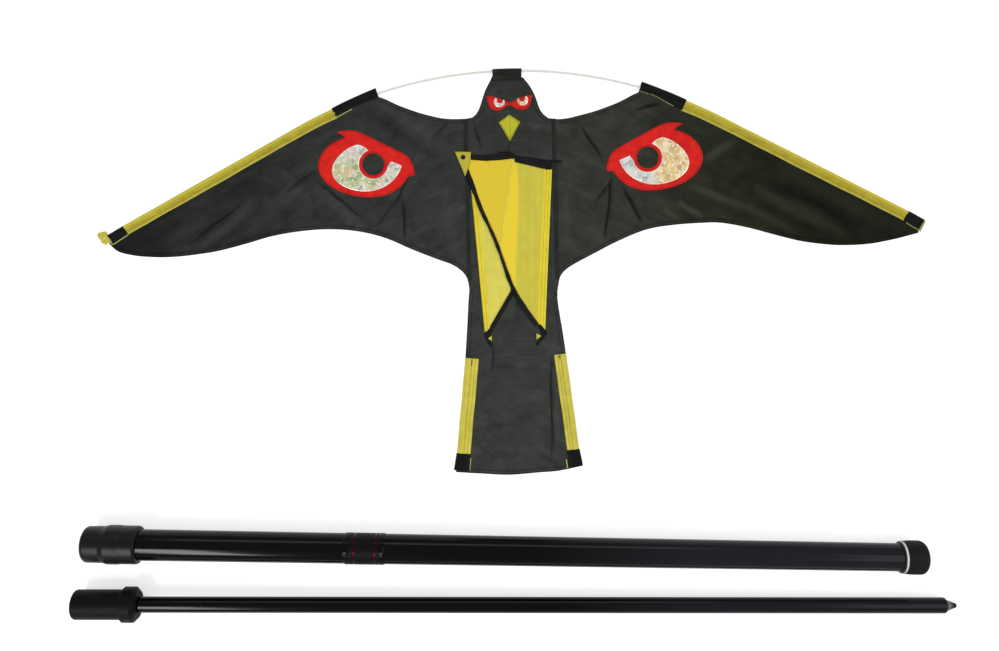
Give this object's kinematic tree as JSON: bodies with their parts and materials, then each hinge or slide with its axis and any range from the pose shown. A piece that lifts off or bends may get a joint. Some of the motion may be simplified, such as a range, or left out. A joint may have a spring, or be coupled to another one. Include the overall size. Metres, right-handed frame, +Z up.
{
  "type": "bird scarer kite pole",
  "caption": "Hawk-shaped bird scarer kite laid flat beside its drawn-in telescopic pole and the ground stake that plugs into the pole's butt.",
  "frame": {"origin": "on the floor under the middle of the laid-out set", "axes": "+X along the poles from butt and plug to tip and point, +Y towards the kite's head, +Z up off the floor"},
  "size_m": [1.1901, 0.7487, 0.052],
  "materials": {
    "pole_lacquer": "gloss black lacquer on wound fibre",
    "red_thread": "red thread under lacquer",
    "soft_cap": "matt black soft rubber",
    "tip_cap_black": "satin black plastic",
    "pale_ring": "pale plastic",
    "brass": "plain",
    "bright_steel": "bright",
    "stake_paint": "gloss black paint",
    "point_steel": "bare, dark at the nose",
    "plug_plastic": "black",
    "sail_cloth": "charcoal ripstop nylon",
    "black_tape": "black woven tape",
    "spar_white": "white glass fibre rod",
    "sleeve_yellow": "olive yellow nylon",
    "keel_yellow": "bright yellow nylon",
    "red_patch": "red nylon",
    "silver_foil": "holographic silver film"
  },
  "bodies": {
    "pole": {"pole_section_1": "pole_lacquer", "whipping_band": "pole_lacquer", "whipping_rings": "red_thread"},
    "section_2": {"pole_section_2": "pole_lacquer"},
    "section_3": {"pole_section_3": "pole_lacquer"},
    "section_4": {"pole_section_4": "pole_lacquer"},
    "section_5": {"pole_section_5": "pole_lacquer"},
    "section_6": {"pole_section_6": "pole_lacquer", "tip_ferrule": "brass"},
    "tip_swivel": {"tip_swivel": "bright_steel"},
    "tip_cap": {"tip_cap": "tip_cap_black", "tip_cap_ring": "pale_ring"},
    "butt_cap": {"butt_cap": "soft_cap"},
    "stake": {"stake_tube": "stake_paint", "stake_point": "point_steel", "plug_sleeve": "soft_cap", "plug_collar": "soft_cap", "plug_core": "plug_plastic"},
    "kite": {"body_panel": "sail_cloth", "wing_panel_left": "sail_cloth", "wing_panel_right": "sail_cloth", "seam_tapes": "black_tape", "head_pocket": "black_tape", "spar_left": "spar_white", "spar_right": "spar_white", "spar_ferrule": "brass", "wing_sleeve_left": "sleeve_yellow", "wing_sleeve_right": "sleeve_yellow", "inner_pocket_left": "black_tape", "inner_pocket_right": "black_tape", "tip_pocket_left": "black_tape", "tip_pocket_right": "black_tape", "tip_tie_left": "sleeve_yellow", "tip_tie_right": "sleeve_yellow", "tail_sleeve_left": "sleeve_yellow", "tail_sleeve_right": "sleeve_yellow", "tail_pocket_left": "black_tape", "tail_pocket_right": "black_tape", "tail_rod_left": "spar_white", "tail_rod_right": "spar_white", "eye_patch_left": "red_patch", "eye_patch_right": "red_patch", "eye_foil_left": "silver_foil", "eye_foil_right": "silver_foil", "face_mask": "red_patch", "face_foils": "silver_foil", "beak": "sleeve_yellow", "keel_side": "keel_yellow", "keel_side_binding": "black_tape", "keel_hem_right": "keel_yellow", "keel_hem_left": "keel_yellow", "keel_tabs": "black_tape"},
    "keel": {"keel_panel": "keel_yellow", "keel_back": "keel_yellow", "keel_edge_binding": "black_tape", "keel_top_binding": "black_tape", "keel_corner": "keel_yellow", "keel_eyelet": "bright_steel"}
  },
  "joints": [
    {"name": "section_2_slide", "type": "slide", "parent": "pole", "child": "section_2", "axis": [0.9999, -0.0169, -0.0032], "range_m": [0, 1.004]},
    {"name": "section_3_slide", "type": "slide", "parent": "section_2", "child": "section_3", "axis": [0.9999, -0.0169, -0.0032], "range_m": [0, 1.006]},
    {"name": "section_4_slide", "type": "slide", "parent": "section_3", "child": "section_4", "axis": [0.9999, -0.0169, -0.0032], "range_m": [0, 1.008]},
    {"name": "section_5_slide", "type": "slide", "parent": "section_4", "child": "section_5", "axis": [0.9999, -0.0169, -0.0032], "range_m": [0, 1.01]},
    {"name": "section_6_slide", "type": "slide", "parent": "section_5", "child": "section_6", "axis": [0.9999, -0.0169, -0.0032], "range_m": [0, 1.012]},
    {"name": "tip_swivel_spin", "type": "hinge", "parent": "section_6", "child": "tip_swivel", "pos_m": [0.51604, -0.28856, 0.02257], "axis": [0.9999, -0.0169, -0.0032], "continuous": true},
    {"name": "tip_cap_pull", "type": "slide", "parent": "section_6", "child": "tip_cap", "axis": [0.9999, -0.0169, -0.0032], "range_m": [0, 0.06]},
    {"name": "butt_cap_pull", "type": "slide", "parent": "pole", "child": "butt_cap", "axis": [-0.9999, 0.0169, 0.0032], "range_m": [0, 0.1]},
    {"name": "stake_lift", "type": "slide", "parent": "pole", "child": "stake", "axis": [0, 0, 1], "range_m": [0, 0.3]},
    {"name": "kite_lift", "type": "slide", "parent": "pole", "child": "kite", "axis": [0, 0, 1], "range_m": [0, 0.3]},
    {"name": "keel_swing", "type": "hinge", "parent": "kite", "child": "keel", "pos_m": [0.03297, 0.12401, 0.00215], "axis": [0.0418, 0.9991, 0], "range_deg": [0, 60]}
  ]
}
